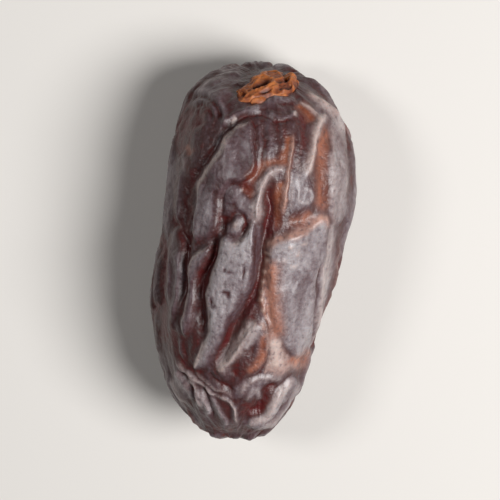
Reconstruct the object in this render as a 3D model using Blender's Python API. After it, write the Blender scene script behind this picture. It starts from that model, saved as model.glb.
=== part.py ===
# A medjool date lying on its side, with its dry calyx in the dip at the +X end.
# Metres, +Z up. The origin is on the surface that the date rests on, under the middle of its box.

import math

import bmesh
import bpy
from mathutils import Matrix, Vector

# Driving dimensions of the fruit
FRUIT_LENGTH = 0.0512  # before the dip is pressed in and the stem end leans: 50 mm after that
FRUIT_WIDTH = 0.0244
FRUIT_HEIGHT = 0.0224
WIDEST_STATION = 0.0088  # where the fruit is widest, from the middle of its length
CALYX_END_FULLNESS = 2.35  # superellipse exponents: 2 is an ellipse, more is blunter
TIP_END_FULLNESS = 2.5
SWAY = 0.0009  # how far the spine swings sideways
SWAY_WAVELENGTH = 0.044
SWAY_SHIFT = 0.0014

# The stem end leans up and a little towards +Y, because the fruit grew hanging askew
END_PITCH = math.tan(math.radians(5.0))
END_YAW = math.tan(math.radians(1.0))
LEAN_STARTS = 0.006
LEAN_FULL = 0.020

# The dip that holds the calyx, its middle above the fruit's axis and a little to +Y
DIP_DEPTH = 0.0021
DIP_RADIUS = 0.0058
DIP_ACROSS = 0.0003
DIP_UP = 0.0030

# How much of the belly is pressed flat where the fruit rests
BELLY_FLAT = 0.0004

# The calyx: a dry three-lobed cap with the stalk's scar in its middle
CALYX_RADIUS = 0.0046
CALYX_THICKNESS = 0.0026
CALYX_LOBES = 3
CALYX_LOBE_SWELL = 0.07
CALYX_SCAR_DEPTH = 0.0007
CALYX_SCAR_RADIUS = 0.0013
CALYX_RIM_SHARPNESS = 0.75
CALYX_SQUASH = 0.88  # its height over its width
CALYX_SEAT = (0.0226, 0.00055, 0.0030)  # the middle of the cap, from the middle of the fruit
CALYX_PITCH = math.tan(math.radians(20.0))
CALYX_YAW = math.tan(math.radians(15.0))
CALYX_GAP = 0.0004

# Furrows of the dried skin. Angles go round the fruit in degrees, 0 on top and 90 on the +Y side.
# Each: angle at mid-length, degrees it turns per millimetre towards the calyx, depth and half-width,
# and the stations in millimetres between which it runs.
FURROWS = (
    (-4.0, -0.7, 0.00085, 6.0, -15.0, 9.0),
    (31.0, 0.0, 0.00075, 5.5, -13.0, 2.0),
    (52.0, -0.6, 0.00060, 5.5, -5.0, 15.0),
    (-53.0, 0.7, 0.00055, 6.0, 4.0, 19.0),
    (4.0, 0.0, 0.00050, 6.0, 9.0, 19.0),
    (-28.0, 0.0, 0.00070, 8.0, -24.0, -17.0),
    (36.0, 0.6, 0.00050, 6.0, -23.0, -14.0),
    (-66.0, 0.5, 0.00060, 6.0, -17.0, 6.0),
    (78.0, -0.5, 0.00065, 6.0, -16.0, 12.0),
    (106.0, 0.6, 0.00055, 6.0, -20.0, 3.0),
    (-98.0, -0.4, 0.00060, 6.0, -8.0, 17.0),
    (-128.0, 0.5, 0.00045, 7.0, -18.0, 8.0),
    (136.0, -0.4, 0.00045, 7.0, -8.0, 18.0),
)
FURROW_FADE = 0.004  # length over which a furrow starts and ends

# Mesh fineness
FRUIT_SEGMENTS = 76
FRUIT_RINGS = 46
CALYX_SEGMENTS = 42
CALYX_RINGS = 16

SHARP_EDGE_ANGLE = math.radians(50.0)

FLOOR_CUTTER_SIZE = 0.08

# Materials, in linear colour
SKIN_COLOUR = (0.085, 0.032, 0.028)
SKIN_ROUGHNESS = 0.42
DRY_CALYX_COLOUR = (0.42, 0.14, 0.035)
DRY_CALYX_ROUGHNESS = 0.7


def ease(value, start, end):
    """Smooth step: 0 at start, 1 at end."""
    share = min(max((value - start) / (end - start), 0.0), 1.0)
    return share * share * (3.0 - 2.0 * share)


def furrow_depth(angle, station):
    """How deep the furrows are at an angle in degrees and a station along the fruit."""
    total = 0.0
    for middle, turn, depth, half_width, start_mm, end_mm in FURROWS:
        start, end = start_mm / 1000.0, end_mm / 1000.0
        if not start - FURROW_FADE < station < end + FURROW_FADE:
            continue
        offset = (angle - middle - turn * station * 1000.0 + 180.0) % 360.0 - 180.0
        window = ease(station, start - FURROW_FADE, start + FURROW_FADE)
        window *= 1.0 - ease(station, end - FURROW_FADE, end + FURROW_FADE)
        total += depth * window * math.exp(-((offset / half_width) ** 2))
    return total


def fruit_point(unit):
    """Move a point of a unit sphere, poles on Z, to the skin of the fruit, whose axis is X."""
    along = unit.z
    around = math.hypot(unit.x, unit.y)
    angle = math.atan2(unit.y, unit.x)

    # A superellipse outline, blunt at the calyx and narrower at the tip
    if along > 0.0:
        power = 2.0 / CALYX_END_FULLNESS
        station = WIDEST_STATION + (FRUIT_LENGTH / 2 - WIDEST_STATION) * along**power
    else:
        power = 2.0 / TIP_END_FULLNESS
        station = WIDEST_STATION - (FRUIT_LENGTH / 2 + WIDEST_STATION) * (-along) ** power
    reach = around**power

    cut = furrow_depth(math.degrees(angle), station)
    y = (FRUIT_WIDTH / 2 * reach - cut) * math.sin(angle)
    z = (FRUIT_HEIGHT / 2 * reach - cut) * math.cos(angle)

    # The dip at the stem end, then the lean of that end, then the sway of the spine
    if along > 0.0:
        from_dip = math.hypot(y - DIP_ACROSS, z - DIP_UP)
        station -= DIP_DEPTH * math.exp(-((from_dip / DIP_RADIUS) ** 2))
    station -= (END_PITCH * z + END_YAW * y) * ease(station, LEAN_STARTS, LEAN_FULL)
    y -= SWAY * math.sin(2.0 * math.pi * (station + SWAY_SHIFT) / SWAY_WAVELENGTH)
    return Vector((station, y, z))


def calyx_point(unit):
    """Move a point of a unit sphere, poles on Z, to the surface of the cap, whose axis is Z."""
    around = math.hypot(unit.x, unit.y)
    angle = math.atan2(unit.y, unit.x)
    lobes = 1.0 + CALYX_LOBE_SWELL * math.cos(CALYX_LOBES * angle)
    radius = CALYX_RADIUS * lobes * around**CALYX_RIM_SHARPNESS
    height = CALYX_THICKNESS / 2 * unit.z
    if unit.z > 0.0:
        height -= CALYX_SCAR_DEPTH * math.exp(-((radius / CALYX_SCAR_RADIUS) ** 2))
    return Vector((radius * math.cos(angle), CALYX_SQUASH * radius * math.sin(angle), height))


def shaped_sphere(name, segments, rings, shape):
    """A mesh made from a sphere primitive, each of its points moved by a function."""
    form = bmesh.new()
    bmesh.ops.create_uvsphere(form, u_segments=segments, v_segments=rings, radius=1.0)
    for vertex in form.verts:
        vertex.co = shape(vertex.co)
    bmesh.ops.recalc_face_normals(form, faces=form.faces)
    mesh = bpy.data.meshes.new(name)
    form.to_mesh(mesh)
    form.free()
    mesh.shade_smooth()
    mesh.set_sharp_from_angle(angle=SHARP_EDGE_ANGLE)
    return mesh


def make_material(name, colour, roughness):
    """A Principled BSDF with one colour and roughness, not metallic."""
    material = bpy.data.materials.new(name)
    material.use_nodes = True
    shader = material.node_tree.nodes["Principled BSDF"]
    shader.inputs["Base Color"].default_value = (*colour, 1.0)
    shader.inputs["Roughness"].default_value = roughness
    shader.inputs["Metallic"].default_value = 0.0
    return material


def add_object(name, mesh, collection, parent):
    """An object of a mesh, in a collection and under the empty that places the date."""
    thing = bpy.data.objects.new(name, mesh)
    collection.objects.link(thing)
    thing.parent = parent
    return thing


def add_cutter(name, mesh, collection, parent, target):
    """A cutter that stays out of renders, and the Boolean with which it cuts its target."""
    cutter = add_object(name, mesh, collection, parent)
    cutter.hide_render = True
    cutter.display_type = "WIRE"
    cut = target.modifiers.new(name, "BOOLEAN")
    cut.operation = "DIFFERENCE"
    cut.solver = "EXACT"
    cut.object = cutter
    return cutter


def calyx_placement():
    """Where the cap sits: in the dip, its axis leaning a little more than the stem end."""
    outward = Vector((1.0, CALYX_YAW, CALYX_PITCH)).normalized()
    turn = outward.to_track_quat("Z", "Y").to_matrix().to_4x4()
    return Matrix.Translation(Vector(CALYX_SEAT)) @ turn


def make_fruit(collection, parent):
    """The fruit: skin and flesh as one solid."""
    mesh = shaped_sphere("date_fruit", FRUIT_SEGMENTS, FRUIT_RINGS, fruit_point)
    mesh.materials.append(make_material("date_skin", SKIN_COLOUR, SKIN_ROUGHNESS))
    return add_object("date_fruit", mesh, collection, parent)


def make_calyx(collection, parent):
    """The dry calyx, set into the dip."""
    mesh = shaped_sphere("calyx_cap", CALYX_SEGMENTS, CALYX_RINGS, calyx_point)
    mesh.materials.append(make_material("dry_calyx", DRY_CALYX_COLOUR, DRY_CALYX_ROUGHNESS))
    calyx = add_object("calyx_cap", mesh, collection, parent)
    calyx.matrix_local = calyx_placement()
    return calyx


def cut_socket(fruit, collection, parent):
    """Clear the seat of the cap: the cap's own form grown by the gap and drawn out of the dip."""

    def grown_point(unit):
        swell = 1.0 + CALYX_GAP / CALYX_RADIUS
        point = calyx_point(unit)
        point.x *= swell
        point.y *= swell
        if unit.z > 0.0:
            point.z = CALYX_THICKNESS
        else:
            point.z -= CALYX_GAP * (1.0 + unit.z) + CALYX_GAP
        return point

    mesh = shaped_sphere("calyx_socket", CALYX_SEGMENTS, CALYX_RINGS, grown_point)
    cutter = add_cutter("calyx_socket", mesh, collection, parent, fruit)
    cutter.matrix_local = calyx_placement()


def cut_belly(fruit, collection, parent):
    """Press the belly flat where the fruit rests."""
    form = bmesh.new()
    bmesh.ops.create_cube(form, size=FLOOR_CUTTER_SIZE)
    mesh = bpy.data.meshes.new("belly_flat")
    form.to_mesh(mesh)
    form.free()
    cutter = add_cutter("belly_flat", mesh, collection, parent, fruit)
    cutter.location.z = -FRUIT_HEIGHT / 2 + BELLY_FLAT - FLOOR_CUTTER_SIZE / 2


def box_of(things):
    """Lowest and highest corners of the objects as they are evaluated."""
    graph = bpy.context.evaluated_depsgraph_get()
    points = []
    for thing in things:
        evaluated = thing.evaluated_get(graph)
        mesh = evaluated.to_mesh()
        points += [evaluated.matrix_world @ vertex.co for vertex in mesh.vertices]
        evaluated.to_mesh_clear()
    lowest = Vector([min(point[axis] for point in points) for axis in range(3)])
    highest = Vector([max(point[axis] for point in points) for axis in range(3)])
    return lowest, highest


def main():
    for thing in list(bpy.data.objects):
        bpy.data.objects.remove(thing, do_unlink=True)

    date = bpy.data.collections.new("medjool_date")
    cutters = bpy.data.collections.new("cutters")
    bpy.context.scene.collection.children.link(date)
    bpy.context.scene.collection.children.link(cutters)
    place = bpy.data.objects.new("date_place", None)
    date.objects.link(place)

    fruit = make_fruit(date, place)
    calyx = make_calyx(date, place)
    cut_socket(fruit, cutters, place)
    cut_belly(fruit, cutters, place)

    # Stand the date on the origin: its box centred on X and Y, its belly at Z 0
    bpy.context.view_layer.update()
    lowest, highest = box_of((fruit, calyx))
    middle = (lowest + highest) / 2
    place.location = Vector((-middle.x, -middle.y, -lowest.z))
    bpy.context.view_layer.update()


main()
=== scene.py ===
# Medjool date, one dried fruit lying on its side, calyx towards +X
import math
from itertools import zip_longest

import bpy
import numpy as np
from mathutils import Matrix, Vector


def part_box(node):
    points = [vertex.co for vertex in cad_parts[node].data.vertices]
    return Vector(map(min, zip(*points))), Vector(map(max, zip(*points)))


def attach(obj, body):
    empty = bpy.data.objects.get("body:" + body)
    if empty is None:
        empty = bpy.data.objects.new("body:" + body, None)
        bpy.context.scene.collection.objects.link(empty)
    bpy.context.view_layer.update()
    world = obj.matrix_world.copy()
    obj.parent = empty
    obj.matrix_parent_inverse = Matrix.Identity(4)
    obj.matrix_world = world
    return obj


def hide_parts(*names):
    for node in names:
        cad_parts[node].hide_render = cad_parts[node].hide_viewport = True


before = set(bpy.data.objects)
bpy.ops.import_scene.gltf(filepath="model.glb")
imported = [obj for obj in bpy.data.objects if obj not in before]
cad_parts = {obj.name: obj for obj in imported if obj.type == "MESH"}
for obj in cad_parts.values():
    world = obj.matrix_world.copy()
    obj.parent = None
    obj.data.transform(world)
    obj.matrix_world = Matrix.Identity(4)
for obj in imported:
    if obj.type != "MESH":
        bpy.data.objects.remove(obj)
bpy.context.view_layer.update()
mm = 0.001
fruitLow, fruitHigh = [np.array(corner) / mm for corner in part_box("date_fruit")]
print("frame loaded, fruit", (fruitHigh - fruitLow).round(2), "mm")

# Where the camera stands, seen from the fruit. The photograph looks down on the date's side,
# a little from the calyx end, with the calyx at the top of the picture and leaning right.
view = {
    "tilt": math.radians(12.0),       # off the vertical, towards the calyx
    "roll": math.radians(5.0),        # how far the fruit's axis leans right in the picture
    "distance": 420.0,                # mm from the middle of the fruit
    "pixelsPerMm": 7.5,
    "pictureSize": 500.0,             # pixels
    "sensor": 36.0,
    "aim": np.array([0.6, 0.3, 11.0]),  # mm
}
toCamera = np.array([math.sin(view["tilt"]), 0.0, math.cos(view["tilt"])])
acrossPicture = np.array([0.0, -1.0, 0.0])
upPicture = np.array([math.cos(view["tilt"]), 0.0, -math.sin(view["tilt"])])


# Smooth step: 0 below low, 1 above high, with a soft start and end
def smooth(value, low, high):
    share = np.clip((value - low) / (high - low), 0.0, 1.0)
    return share * share * (3.0 - 2.0 * share)


# Bell: 1 at the middle, falling away over the width
def bell(value, width):
    return np.exp(-((value / width) ** 2))


# Smooth noise from -1 to 1: random values on a cubic lattice with cells of the given size in mm,
# blended with a quintic curve. Three sizes stretch the cells.
latticeCells = 32


def latticeNoise(points, size, seed):
    table = np.random.default_rng(seed).uniform(-1.0, 1.0, (latticeCells,) * 3)
    scaled = points / np.asarray(size, float) + 100.0
    corner = np.floor(scaled).astype(int)
    part = scaled - corner
    part = part ** 3 * (part * (part * 6.0 - 15.0) + 10.0)
    total = np.zeros(len(points))
    for step in np.ndindex(2, 2, 2):
        share = np.where(step, part, 1.0 - part).prod(1)
        total += share * table[tuple((corner + step).T % latticeCells)]
    return total


# Noise along two or three axes, each with a seed of its own
def noiseAxes(points, size, seed, axes=3):
    return np.stack([latticeNoise(points, size, seed + axis) for axis in range(axes)], -1)


# Folds from 0 to 1: one minus the size of the noise, whose zero lines become sharp ridges
def foldNoise(points, size, seed):
    return np.clip(1.0 - 1.8 * np.abs(latticeNoise(points, size, seed)), 0.0, 1.0)


# A smooth line through a few chosen points: a Catmull-Rom curve, a few steps to each stretch
def smoothLine(points, closed=False, steps=5):
    points = np.asarray(points, float)
    if closed:
        padded = np.vstack([points[-1], points, points[0], points[1]])
    else:
        padded = np.vstack([2 * points[0] - points[1], points, 2 * points[-1] - points[-2]])
    before, start, end, after = padded[:-3], padded[1:-2], padded[2:-1], padded[3:]
    line = []
    for t in np.arange(steps) / steps:
        line.append(0.5 * (2 * start + (end - before) * t
                           + (2 * before - 5 * start + 4 * end - after) * t ** 2
                           + (3 * start - before - 3 * end + after) * t ** 3))
    line = np.stack(line, 1).reshape(-1, 2)
    return np.vstack([line, points[0] if closed else points[-1]])


# For every place: the distance to the nearest stretch of a line, and how far along the line that is
def distanceToLine(places, line):
    start, step = line[:-1], np.diff(line, axis=0)
    lengths = np.maximum(np.hypot(step[:, 0], step[:, 1]), 1e-6)
    before = np.concatenate([[0.0], np.cumsum(lengths)[:-1]])
    offset = places[:, None, :] - start[None]
    along = np.clip((offset * step).sum(2) / lengths ** 2, 0.0, 1.0)
    away = np.sqrt(((offset - along[..., None] * step) ** 2).sum(2))
    nearest = away.argmin(1)
    rows = np.arange(len(places))
    share = (before[nearest] + along[rows, nearest] * lengths[nearest]) / lengths.sum()
    return away[rows, nearest], share


# Signed distance to a closed outline, positive inside: the distance to its line, with its sign
# from whether a ray to the right crosses the outline an odd number of times
def distanceInside(places, line):
    away = distanceToLine(places, line)[0]
    x, y = places[:, 0:1], places[:, 1:2]
    x0, y0, x1, y1 = line[:-1, 0], line[:-1, 1], line[1:, 0], line[1:, 1]
    crossing = (y0 > y) != (y1 > y)
    slope = (x1 - x0) / np.where(y1 == y0, 1e-9, y1 - y0)
    inside = (crossing & (x < x0 + (y - y0) * slope)).sum(1) % 2 == 1
    return np.where(inside, away, -away)


# A closed skin over rings of points and a pole at each end, faces outwards. Its values, one for
# each point and one for both poles, are kept as attributes for the material.
def makePiece(name, rings, material, values):
    rows, columns = rings.shape[:2]
    points = np.vstack([rings.reshape(-1, 3), rings[0].mean(0), rings[-1].mean(0)]) * mm
    index = np.arange(rows * columns).reshape(rows, columns)
    beside = np.roll(index, -1, axis=1)
    quads = np.stack([index[:-1], beside[:-1], beside[1:], index[1:]], -1).reshape(-1, 4)
    startFan = np.stack([np.full(columns, rows * columns), beside[0], index[0]], -1)
    endFan = np.stack([np.full(columns, rows * columns + 1), index[-1], beside[-1]], -1)
    mesh = bpy.data.meshes.new(name)
    mesh.from_pydata(points.tolist(), [], quads.tolist() + startFan.tolist() + endFan.tolist())
    mesh.polygons.foreach_set("use_smooth", np.ones(len(mesh.polygons), bool))
    mesh.update()
    for label, (each, atPole) in values.items():
        whole = np.clip(np.concatenate([each.ravel(), [atPole, atPole]]), 0.0, 1.0)
        mesh.attributes.new(label, "FLOAT", "POINT").data.foreach_set("value", whole)
    mesh.materials.append(material)
    piece = bpy.data.objects.new(name, mesh)
    bpy.context.scene.collection.objects.link(piece)
    return piece


# The fruit's form in mm, before its skin is wrinkled
fruit = {
    "length": 51.2, "width": 24.4, "height": 22.4,
    "widest": 8.8,                     # the widest station, from the middle
    "calyxFullness": 2.35,             # superellipse exponents: 2 is an ellipse, more is blunter
    "tipFullness": 2.5,
    "sway": 0.9, "swayLength": 44.0, "swayShift": 1.4,
    "pitch": math.tan(math.radians(5.0)), "yaw": math.tan(math.radians(1.0)),
    "leanFrom": 6.0, "leanTo": 20.0,
    "dipDepth": 2.1, "dipRadius": 5.8,
    "dipAcross": 0.3, "dipUp": 3.0,    # the dip's middle, from the fruit's axis
    "bellyFlat": 0.4, "bellyTurn": 0.12,  # the belly is cut at the floor, and turns flat over this
    "inset": 0.55,                     # the furrows' floor lies this far under the CAD skin
    "rows": 250, "columns": 396, "profileSteps": 4001,
    "crowding": 0.38,                  # columns are closer together on top, where the detail is
}
fruitMiddle = fruit["height"] / 2


# Fruit: a superellipse profile, blunt at the calyx and narrower at the tip, carried round an
# elliptical section; then the dip, the lean of the stem end and the sway of the spine
def fruitForm(polar, around):
    c, s = np.cos(polar), np.sin(polar)
    stemSide = c > 0.0
    power = np.where(stemSide, 2.0 / fruit["calyxFullness"], 2.0 / fruit["tipFullness"])
    half = fruit["length"] / 2
    run = np.where(stemSide, half - fruit["widest"], half + fruit["widest"])
    station = fruit["widest"] + np.sign(c) * run * np.abs(c) ** power
    reach = s ** power
    y = fruit["width"] / 2 * reach * np.sin(around)
    z = fruitMiddle * reach * np.cos(around)
    fromDip = np.hypot(y - fruit["dipAcross"], z - fruit["dipUp"])
    station = station - smooth(c, 0.0, 0.35) * fruit["dipDepth"] * bell(fromDip, fruit["dipRadius"])
    lean = smooth(station, fruit["leanFrom"], fruit["leanTo"])
    station = station - (fruit["pitch"] * z + fruit["yaw"] * y) * lean
    y = y - fruit["sway"] * np.sin(2.0 * np.pi * (station + fruit["swayShift"]) / fruit["swayLength"])
    return np.stack([station, y, z + fruitMiddle - fruit["bellyFlat"]], -1)


# How far the form moves for its box to be centred where the CAD fruit's box is
def formShift(rings):
    middle = (rings.reshape(-1, 3).max(0) + rings.reshape(-1, 3).min(0)) / 2
    return ((fruitLow + fruitHigh) / 2 - middle) * [1.0, 1.0, 0.0]


# Polar angles whose rings lie at even steps along the profile from the calyx end to the tip, and
# how far along it each of them lies, from its middle, in mm
def evenPolar(count):
    dense = np.linspace(0.0, np.pi, fruit["profileSteps"])
    profile = fruitForm(dense, np.full(dense.shape, np.pi / 2))
    run = np.concatenate([[0.0], np.cumsum(np.linalg.norm(np.diff(profile, axis=0), axis=1))])
    polar = np.interp(np.linspace(0.0, run[-1], count + 2)[1:-1], run, dense)
    return polar, run[-1] / 2 - np.interp(polar, dense, run)


# Normals of rings of points: the cross product of the steps along and around
def ringNormals(rings):
    along = np.gradient(rings, axis=0)
    around = (np.roll(rings, -1, axis=1) - np.roll(rings, 1, axis=1)) / 2
    normal = np.cross(around, along)
    return normal / np.maximum(np.linalg.norm(normal, axis=2, keepdims=True), 1e-9)


# The places of points in the picture's plane, in mm: right of the middle, and up towards the calyx
def picturePlace(points):
    offset = points - view["aim"]
    closer = view["distance"] / (view["distance"] - offset @ toCamera)
    return np.stack([offset @ acrossPicture * closer, offset @ upPicture * closer], -1)


# Every fold has a finish: how far the skin has lifted (0 is stuck to the dark flesh, 1 is a dry
# grey blister), how amber it is, and how pale: partly pale dry skin, partly a painted highlight on
# rims, ridges and beads. Lengths are in mm, points are in the picture's plane.
finishes = ("lift", "amber", "pale")

# Plates: stretches of skin that have lifted off the flesh and dried puffed up. Height over the
# furrows, softness of the edge, height of the bead along it, how far the middle has sunk again,
# depth of the groove round it, how strong the painted highlight on the upper left edge is; lift,
# amber and pale (the pale partly a painted highlight); the outline; and the stretch over which the
# plate runs out, if it does.
plates = {
    # painted shade: the far left flank, the shadow side of the fruit, is darkened with a very low lift
    "leftFlankPaintedShade": (0, 0.8, 0, 0, 0, 0, 0.1, 0, 0, [(-8.9, 18), (-9.3, 10), (-9.2, 0), (-9.1, -10),
        (-10, -13.5), (-12.5, -12), (-13.5, 0), (-13.5, 12), (-11.5, 19)]),
    "leftBandHigh": (0.35, 0.5, 0.05, 0.05, 0.06, 0.12, 0.28, 0, 0, [(-10.9, 12), (-9.8, 12.6), (-9.2, 10),
        (-9.4, 6.5), (-9.9, 3.4), (-10.8, 3.6), (-11.2, 7.5)]),
    "leftBandLow": (0.4, 0.5, 0.06, 0.05, 0.06, 0.08, 0.37, 0, 0, [(-10.9, 2.2), (-9.8, 2), (-9.1, -0.6),
        (-8.95, -4), (-9.05, -8), (-9.4, -11), (-10.4, -11.6), (-10.8, -8.5), (-11, -4), (-11.2, -0.5)]),
    "topMiddle": (0, 0.8, 0, 0, 0, 0, 0.18, 0, 0, [(-0.8, 18.2), (2, 18.6), (4.8, 19.2), (7.2, 17.5),
        (7, 11.2), (4.6, 11.2), (3, 11.6), (0.6, 9.8), (-0.1, 14)]),
    "collar": (0.35, 0.7, 0, 0, 0, 0.1, 0.5, 0, 0, [(-2.8, 18.8), (-1.4, 19.8), (0, 20.5), (1.5, 21.2),
        (3, 21.4), (4.3, 21.4), (4.6, 20.6), (3.6, 19.7), (2.2, 19.3), (0.6, 19.4), (-1.2, 18.7)]),
    "leftShoulder": (0.35, 0.9, 0, 0, 0, 0.1, 0.47, 0, 0, [(-8.3, 22.2), (-6.5, 23.5), (-4.5, 24.6),
        (-3, 25), (-3, 23.3), (-3.9, 21.5), (-4.5, 19.9), (-5.6, 19.2), (-7, 19.9), (-8.6, 20.6)]),
    "rightShoulder": (0.45, 0.5, 0.1, 0.1, 0.06, 0.12, 0.68, 0, 0.1, [(9.6, 19.7), (10.6, 19.5),
        (11.5, 17.8), (12.3, 15), (12.8, 12), (13, 9), (12.9, 6.5), (12.4, 4.6), (11.2, 3.9), (10.6, 5),
        (10.3, 7), (10, 10), (9.8, 13), (9.7, 16)]),
    "lowLeftRed": (-0.15, 0.8, 0, 0, 0.06, 0, 0.16, 0, 0, [(-10.2, -12.2), (-8.4, -12), (-6.6, -12.4),
        (-5.6, -13.4), (-6, -15.2), (-7.2, -16.6), (-8.8, -16), (-10, -14.5)]),
    "roughCentre": (0.6, 0.9, 0, 0, 0, 0, 0.6, 0, 0, [(-4.2, 7.6), (-2.8, 8.3), (-1.7, 7.6), (-0.4, 6.6),
        (0.2, 5.4), (0.1, 3.6), (-0.7, 2.8), (-1.2, 1.8), (-2.4, 1.2), (-3.6, 1.8), (-4.2, 3.2),
        (-4.4, 5.5)]),
    "upperLeft": (0.85, 0.38, 0.16, 0.15, 0.06, 0.28, 0.47, 0, 0, [(-1.4, 17.4), (-2.4, 16.8), (-3.7, 15.9),
        (-4.5, 14.9), (-5.1, 13.2), (-5.6, 12.1), (-6.5, 10.8), (-7.3, 9.4), (-7.8, 7.5), (-8, 5.5),
        (-8.15, 3.2), (-8.1, 1.4), (-7.6, 0.3), (-6.4, 1), (-5.2, 1.3), (-4.4, 2.7), (-4.3, 4.5),
        (-4.4, 6.6), (-3.6, 8.2), (-2.3, 8.6), (-1.4, 9.2), (-0.3, 10.2), (-0.2, 12.2), (-0.6, 14.2),
        (-0.9, 16)]),
    "rightEdge": (0.25, 0.8, 0, 0, 0, 0, 0.8, 0, 0.15, [(10.7, 4.2), (11.9, 3.6), (12.1, 0), (12, -4),
        (11.7, -8), (11.1, -12), (10, -13.2), (10.1, -10), (10.3, -6), (10.6, -2), (10.7, 1.5)]),
    "upperLeftFoot": (0.08, 1.2, 0, 0, 0, 0, 0.66, 0, 0, [(-7.9, 7.5), (-8.1, 4.5), (-8, 1.8), (-7, 1),
        (-5.6, 1.6), (-4.8, 3.4), (-4.9, 6.2), (-6.2, 8.4)]),
    "lowerLeft": (0.8, 0.34, 0.14, 0.08, 0.06, 0.28, 0.6, 0, 0, [(-6, 0.1), (-7, -0.6), (-7.9, -1.6),
        (-8.3, -3), (-8.2, -5), (-8.1, -6.2), (-8.4, -8.5), (-8.5, -11), (-7.6, -12.3), (-6.9, -11),
        (-6.7, -8), (-6.8, -6), (-6.5, -4.2), (-5.9, -2.8), (-5.3, -1.2), (-5.1, 0.2)]),
    "centre": (0.95, 0.5, 0.04, 0, 0.06, 0.28, 0.86, 0, 0, [(-4.1, 1.1), (-3.5, 1.7), (-2.7, 1.3),
        (-2.1, 1), (-1.2, 1.8), (-0.6, 3), (0.1, 4.2), (0.7, 3.2), (0.9, 1), (1, -1.5), (1.1, -3.8),
        (0.6, -5.5), (-0.6, -7.4), (-1.4, -9.2), (-2.1, -11.2), (-2.8, -13.2), (-3.7, -15), (-4.6, -16.3),
        (-6.2, -17), (-6.4, -16.2), (-5.7, -14.8), (-5.2, -13.2), (-5, -11.5), (-5.2, -9.5), (-5.5, -7.5),
        (-5.5, -5.5), (-5.3, -3.8), (-4.8, -2), (-4.4, -0.4)], -17.5, -10),
    "rightPanel": (0.3, 0.9, 0, 0, 0, 0.1, 0.72, 0, 0, [(4.5, 10.9), (5.5, 10.9), (6.6, 10.9), (7.2, 10.2),
        (7.7, 8.8), (8, 7.2), (7.9, 6), (6.6, 5.6), (5.2, 5.4), (4.8, 6.4), (4.6, 8.5)]),
    "bigRight": (0.8, 0.55, 0.1, 0.25, 0, 0.2, 0.78, 0, 0, [(2.5, 0), (3.4, 1.5), (4.6, 2.2), (6.2, 2.8),
        (7.6, 3.6), (8.7, 4.5), (9.4, 5.1), (10, 4.7), (10.4, 3.4), (10.6, 1.5), (10.6, -0.5), (10.5, -2.5),
        (10.4, -4.5), (10.3, -7), (10.2, -9.5), (10.1, -11.8), (9.6, -13.2), (8.2, -14), (7, -13.8),
        (6, -12.8), (5, -11.4), (4, -10.2), (3.4, -8.5), (3.1, -6), (2.8, -3.5), (2.5, -1.6)]),
    "triangle": (0.75, 0.5, 0.18, 0.65, 0.06, 0.5, 0.34, 0, 0, [(1.7, -9.2), (1, -10.3), (0, -11.8),
        (-0.9, -13.3), (-1.8, -14.8), (-2.6, -15.9), (-3.2, -16.8), (-2.1, -17.6), (-0.8, -18.3),
        (0.2, -18.3), (1.2, -17.2), (2.6, -16.5), (3.5, -15.2), (3.8, -13.8), (3.7, -12.2), (3.2, -10.9),
        (2.5, -9.9)], -18.8, -14.5),
    "junction": (0.25, 0.9, 0, 0, 0, 0, 0.75, 0.4, 0.3, [(3.3, -8.6), (4.2, -10), (5.2, -11.4),
        (6.2, -12.9), (7.2, -13.9), (8.4, -14.3), (9.7, -13.6), (9.9, -14.4), (8.8, -15.2), (7.4, -15.8),
        (6, -16.5), (4.6, -16.7), (3.6, -16.2), (3.8, -14), (3.7, -12), (3.2, -10.2)]),
    "belowTriangle": (0.3, 0.9, 0, 0, 0, 0, 0.46, 0, 0, [(-0.4, -19), (0.6, -18.1), (1.8, -17.4),
        (3.2, -16.8), (4.8, -16.6), (4.4, -17.8), (3.4, -18.9), (2.4, -19.9), (0.8, -20.3), (-0.3, -20)]),
    "crescent": (0.75, 0.55, 0.05, 0, 0.06, 0.18, 0.7, 0, 0, [(7.1, -16.4), (6.1, -17.9), (5.2, -19.2),
        (4.5, -20.6), (3.9, -21.9), (3.2, -22.6), (2, -22.9), (1.8, -23.8), (3.2, -24.2), (4.9, -23.5),
        (6.2, -22.1), (7.2, -20.4), (7.9, -18.6), (8.2, -16.8)]),
}
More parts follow.
